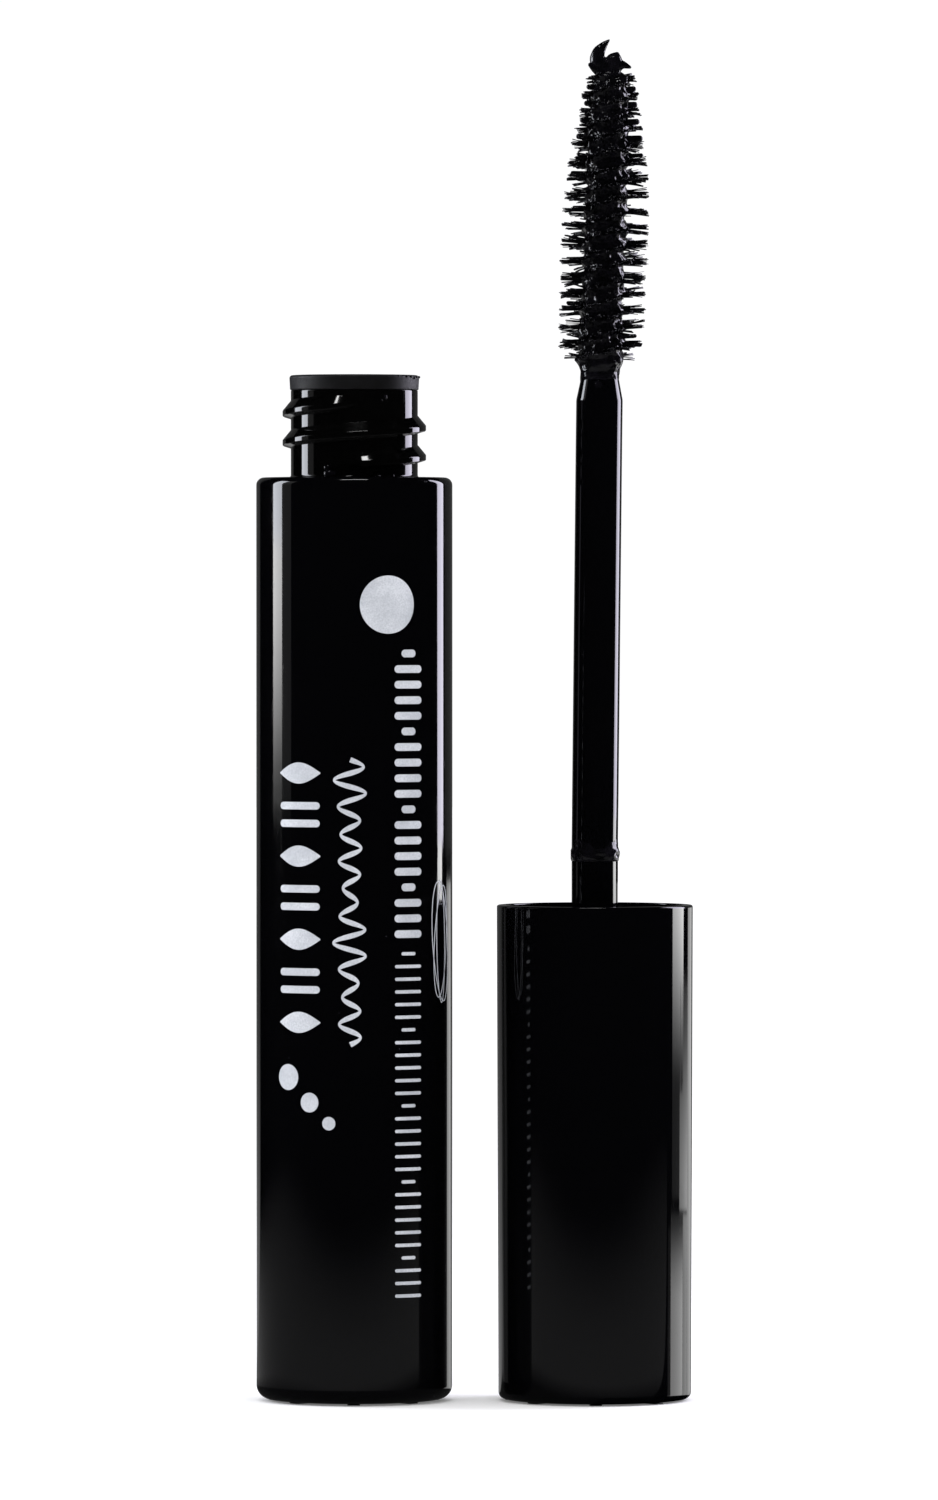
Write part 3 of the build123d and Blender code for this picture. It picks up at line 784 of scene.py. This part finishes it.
# each horn of the peak: the points it passes through, and its radius there, in mm
tip = []
for route, radii in (
        ([(1.2, 0, 128.8), (0.15, -0.1, 129.8), (0.35, -0.1, 130.6), (0.9, -0.1, 131.3),
          (1.38, -0.1, 131.75)], [0.9, 0.75, 0.62, 0.34, 0.10]),
        ([(1.5, 0, 128.6), (1.8, -0.1, 129.6), (2.15, -0.1, 130.4)], [1.0, 0.9, 0.22]),
        ([(1.6, 0, 129.1), (2.6, -0.2, 129.4), (3.4, -0.2, 129.1)], [0.9, 0.42, 0.16]),
        ([(0.9, 0, 128.6), (0.1, -0.2, 129.0), (-0.5, -0.3, 129.35)], [0.8, 0.5, 0.2])):
    tip += horn(by_tip(route), np.array(radii) * MM)
drip = new_piece("pulled_peak", *joined(*tip), "applicator", "mascara", ["tip_drip"])
drip.data.materials.append(brush_product)
melted(drip, 0.07 * MM)

# beads in the brush's rows: height, distance from the axis, direction and size, in mm and radians
drops = []
for height, out, way, size in (
        (122.2, 3.0, 0.05, 0.46), (122.4, 2.9, 3.2, 0.42), (123.8, 2.7, -0.2, 0.42),
        (124.0, 2.6, 3.0, 0.44), (125.5, 2.4, 0.15, 0.42), (125.6, 2.3, 3.3, 0.40),
        (127.0, 2.2, 0.0, 0.40), (127.2, 2.1, 3.1, 0.40), (120.6, 3.3, 0.2, 0.30),
        (118.9, 3.4, 3.0, 0.30), (103.1, 3.3, 0.1, 0.30), (106.3, 3.3, 3.1, 0.28)):
    lean_x = float(stem_lean(np.array([height * MM]))[0, 0] / MM)
    route = [(lean_x + np.cos(way) * s * out, (np.sin(way) - 0.15) * s * out, height - 0.15 * (1 - s))
             for s in (0.3, 0.65, 1.0)]
    drops += horn(by_tip(route), np.array([0.5, 0.8 * size, 0.72 * size]) * MM)
# and those on the rod's taper: centre, size and stretch
for centre, size, stretch in (((0.35, -1.72, 98.1), 0.52, (1.0, 0.6, 1.5)),
                              ((0.2, -1.75, 96.9), 0.30, (1.0, 0.7, 1.4)),
                              ((0.9, -1.45, 98.9), 0.36, (1.0, 0.7, 1.1))):
    drops.append(blob(by_tip([centre])[0], size * MM, stretch))
beads = new_piece("beads_of_product", *joined(*drops), "applicator", "mascara")
beads.data.materials.append(brush_product)
melted(beads, 0.08 * MM, 4)

# dried crumbs: direction, distance from the axis, height and size
crumbs = []
for way, radius, height, size in (
        (-0.62, 6.28, 99.10, 0.12), (-0.50, 6.22, 99.13, 0.15), (-0.40, 6.30, 99.0, 0.13),
        (-0.28, 6.25, 99.12, 0.14), (-0.1, 6.28, 99.1, 0.13), (-0.8, 6.2, 99.14, 0.1),
        (-1.92, 6.75, 89.7, 0.5), (-1.98, 6.4, 90.3, 0.26), (-1.2, 6.55, 89.5, 0.2),
        (-0.95, 6.5, 89.5, 0.16), (-1.12, 6.16, 96.8, 0.14), (-1.05, 6.16, 97.1, 0.2)):
    spot = np.array([radius * np.cos(way), radius * np.sin(way), height]) * MM
    crumbs.append(blob(spot, size * MM, rng.uniform(0.7, 1.3, 3)))
neck_crumbs = new_piece("dried_product_on_neck", *joined(*crumbs), "bottle", "mascara")
neck_crumbs.data.materials.append(brush_product)

# ---------------------------------------------------------------------------------------------
# Ring of product on the rod: what the wiper's lip scraped together as the rod was drawn out,
# highest at its lower edge, with a thin smear above it.

RING_LOW, RING_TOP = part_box("product_ring")[0].z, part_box("product_ring")[1].z
SMEAR_H = 1.0 * MM


def ring_surface(rows=40, columns=160):
    """Radius over (angle, share of height): the rod's, plus a profile that is uneven all round."""
    share = np.linspace(0, 1, rows)[:, None]
    a = np.arange(columns)[None] / columns * TURN
    direction = np.stack([np.cos(a), np.sin(a), 0 * a], -1)
    uneven = ripple(direction, 1.3)
    z = RING_LOW + (RING_TOP + SMEAR_H - RING_LOW) * share
    z = z + 0.12 * MM * uneven * np.sin(np.pi * share * 0.5)
    body = np.interp(share, [0, 0.04, 0.2, 0.4, 0.52, 0.6, 1], [0, 0.6, 1, 1, 0.75, 0.22, 0.05])
    point = np.stack([np.cos(a) + 0 * share, np.sin(a) + 0 * share, z / MM], -1)
    r = ROD_R - 0.02 * MM + body * (0.16 + 0.05 * uneven + 0.045 * ripple(point, 0.7)) * MM
    outer = np.stack([r * np.cos(a), r * np.sin(a), z], -1)
    inside = ROD_R - 0.1 * MM
    inner_top = np.stack([inside * np.cos(a), inside * np.sin(a), z[-1:]], -1)
    inner_low = inner_top + [0, 0, z[0, 0] - z[-1, 0]]
    points = np.concatenate([outer, inner_top, inner_low]).reshape(-1, 3) + [CAP_X, 0, 0]
    faces = grid_faces(rows + 2, columns, wrap_rows=True, wrap_columns=True)
    return points + stem_lean(points[:, 2]), faces


ring = new_piece("ring_left_by_wiper", *ring_surface(), "applicator", "mascara", ["product_ring"])
ring.data.materials.append(brush_product)

# ---------------------------------------------------------------------------------------------
# Studio: a plain pale floor in an even pale room, two tall soft strips behind to either side and a
# softbox overhead. The polished parts see a table and low walls that fade away from the object: glowing
# sheets seen only in gloss, painted reflections with a painted contact shadow by the object.

MIDDLE_X = (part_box("outer_bottle")[0].x + CAP_X + CAP_R) / 2


def stage_sheet(name, points, faces, colour="#000000", glow=0.0):
    """One piece of the studio, with a plain matte material that may also glow."""
    mesh = bpy.data.meshes.new(name)
    mesh.from_pydata(points, [], faces)
    sheet = bpy.data.objects.new(name, mesh)
    bpy.context.scene.collection.objects.link(sheet)
    material, tree, shader, place = new_material(name)
    fibre = add(tree, "ShaderNodeTexNoise", {"Scale": 1 / (2 * MM), "Detail": 2.0}, {"Vector": place})
    shader.inputs["Base Color"].default_value = linear(colour)
    shader.inputs["Specular IOR Level"].default_value = 0.0
    shader.inputs["Emission Color"].default_value = linear("#ffffff")
    shader.inputs["Emission Strength"].default_value = glow
    textured(tree, shader, fibre.outputs["Fac"], rough=(0.85, 1.0))
    mesh.materials.append(material)
    return sheet, tree, shader, place


def only_in_gloss(sheet):
    """A reflector: it shows in polished surfaces, and neither lights nor shades anything else."""
    sheet.visible_camera = sheet.visible_diffuse = sheet.visible_shadow = False


ROOM = 3.0                 # half the floor's side
FLOOR_Z = -0.05 * MM
PANEL_AT = 0.4             # distance of the reflectors and strips from the object
floor, *_ = stage_sheet("floor", [(-ROOM, -ROOM, FLOOR_Z), (ROOM, -ROOM, FLOOR_Z), (ROOM, ROOM, FLOOR_Z),
                                  (-ROOM, ROOM, FLOOR_Z)], [(0, 1, 2, 3)], "#f7f7f8", 0.16)
floor.visible_glossy = False

# what gloss sees of the table, as a painted reflection: a glowing fan from just in front of the cap,
# brightest near the object, with a painted contact shadow right beside it
TABLE_R, TABLE_SQUASH = 0.8, 0.6       # its glow reaches further sideways than to the front
fan = np.radians(np.linspace(216, 455, 60))
apex = (CAP_X + 2 * MM, -CAP_R - 2.5 * MM, 0)
rim = [(MIDDLE_X + TABLE_R * np.sin(a), -TABLE_R * np.cos(a), 0) for a in fan]
table, tree, shader, place = stage_sheet("table", [apex, *rim], [tuple(range(len(fan) + 1))])
wide = add(tree, "ShaderNodeMapping", {"Location": (-MIDDLE_X * TABLE_SQUASH, 0, 0),
                                       "Scale": (TABLE_SQUASH, 1.0, 1.0)}, {"Vector": place})
far = add(tree, "ShaderNodeVectorMath", {}, {0: wide.outputs["Vector"]}, operation="LENGTH")
# painted reflection of a lit table: glow 0.19 near the object, fading to none by about 0.33 m
fade = add(tree, MAP, {1: 0.05, 2: 0.33, 3: 0.19, 4: 0.0}, {0: far.outputs["Value"]})
fade.interpolation_type = "SMOOTHSTEP"
# painted contact shadow: the glow drops to 0.15 of itself within about 18 to 36 mm of the middle
painted_contact_shadow = add(tree, MAP, {1: 0.018, 2: 0.036, 3: 0.15, 4: 1.0}, {0: far.outputs["Value"]})
glow = add(tree, "ShaderNodeMath", {}, {0: fade.outputs["Result"], 1: painted_contact_shadow.outputs["Result"]},
           operation="MULTIPLY")
tree.links.new(glow.outputs["Value"], shader.inputs["Emission Strength"])
only_in_gloss(table)


def painted_reflection_panel(name, from_turn, to_turn, z_range, glow_range):
    """An upright glowing sheet on a circle round the object, between two turns from the front: a painted
    reflection, seen only in gloss.

    Its glow goes smoothly from the first value at the first height to the second at the second.
    """
    a = np.radians(np.linspace(from_turn, to_turn, 12))
    low, high = z_range
    foot = np.stack([MIDDLE_X + PANEL_AT * np.sin(a), -PANEL_AT * np.cos(a)], -1)
    points = [(x, y, z) for z in (low, high) for x, y in foot]
    quads = [(i, i + 1, i + len(a) + 1, i + len(a)) for i in range(len(a) - 1)]
    sheet, tree, shader, place = stage_sheet(name, points, quads)
    height = add(tree, "ShaderNodeSeparateXYZ", {}, {"Vector": place})
    fade = add(tree, MAP, {1: low, 2: high, 3: glow_range[0], 4: glow_range[1]},
               {0: height.outputs["Z"]})
    fade.interpolation_type = "SMOOTHSTEP"
    tree.links.new(fade.outputs["Result"], shader.inputs["Emission Strength"])
    only_in_gloss(sheet)


# each row is a painted reflection: the strips' feet and skirt, the strips mirrored in the table, and the
# table and walls round the object, brighter or darker by height
# name, turns from the front, heights, glow at those heights
for name, turns, heights, glows in (
        ("right strip's foot", (103, 126.5), (0.012, 0.045), (0.15, 7.5)),
        ("below the right strip", (103, 118), (-0.002, 0.012), (0.15, 0.15)),
        ("right strip in the table", (101, 127), (-0.016, -0.004), (2.6, 0.2)),
        ("right strip deep in the table", (101, 127), (-0.080, -0.016), (2.3, 2.6)),
        ("table beyond it", (96, 101), (-0.080, -0.006), (0.6, 0.1)),
        ("low wall beside it", (118.3, 140), (-0.0035, 0.026), (1.7, 0.3)),
        ("low wall in the table", (127.3, 140), (-0.080, -0.004), (1.2, 1.3)),
        ("low wall right", (140.3, 158), (-0.080, 0.040), (0.8, 1.3)),
        ("left strip's foot", (-109, -93), (0.046, 0.085), (0.0, 9.0)),
        ("left strip's skirt", (-92.8, -79), (0.050, 0.350), (0.2, 0.55)),
        ("wall behind, low", (158.3, 216), (-0.060, 0.035), (0.55, 0.10)),
        ("wall behind", (158.3, 216), (0.035, 0.300), (0.10, 0.07)),
        ("wall behind right", (134, 158), (0.044, 0.300), (0.08, 0.07))):
    painted_reflection_panel(name, *turns, heights, glows)

world = bpy.data.worlds.new("pale room")
bpy.context.scene.world = world
world.use_nodes = True
air = world.node_tree.nodes["Background"]
air.inputs["Color"].default_value = linear("#fbfbfc")
air.inputs["Strength"].default_value = 1.06
world.cycles_visibility.glossy = False


def soft_light(name, size, radiance, place, turn, colour="#ffffff"):
    """A rectangular area light of a given radiance: its power is radiance * pi * its area."""
    light = bpy.data.lights.new(name, "AREA")
    light.shape, light.size, light.size_y = "RECTANGLE", *size
    light.energy = radiance * np.pi * size[0] * size[1]
    light.color = linear(colour)[:3]
    lamp = bpy.data.objects.new(name, light)
    lamp.location, lamp.rotation_euler = place, turn
    lamp.visible_camera = False
    bpy.context.scene.collection.objects.link(lamp)


# name, turn from the front, width, heights, radiance, colour
for name, turn, width, low, high, radiance, colour in (
        ("strip right", 116.5, 0.190, 0.045, 0.400, 7.5, "#f0ecff"),
        ("strip left", -101.0, 0.112, 0.085, 0.350, 9.0, "#f2f6ff")):
    a = np.radians(turn)
    soft_light(name, (width, high - low), radiance,
               (MIDDLE_X + PANEL_AT * np.sin(a), -PANEL_AT * np.cos(a), (low + high) / 2),
               (np.pi / 2, 0, a), colour)
soft_light("overhead softbox", (0.17, 0.035), 18.0, (0, -0.12, 0.55), (-np.arctan(0.12 / 0.45), 0, 0))

EYE_BACK, EYE_H = 1100 * MM, 78.5 * MM         # the eye's distance and height
AIM_H, HALF_VIEW = 63.0 * MM, 72.675 * MM      # what it looks at, and half the height that it sees
camera = bpy.data.cameras.new("camera")
camera.sensor_fit = "VERTICAL"
camera.angle = 2 * np.arctan(HALF_VIEW / EYE_BACK)
eye = bpy.data.objects.new("camera", camera)
eye.location = (11.11 * MM, -EYE_BACK, EYE_H)
eye.rotation_euler = (np.pi / 2 - np.arctan((EYE_H - AIM_H) / EYE_BACK), 0, 0)
bpy.context.scene.collection.objects.link(eye)
bpy.context.scene.camera = eye
bpy.context.scene.view_settings.view_transform = "Standard"
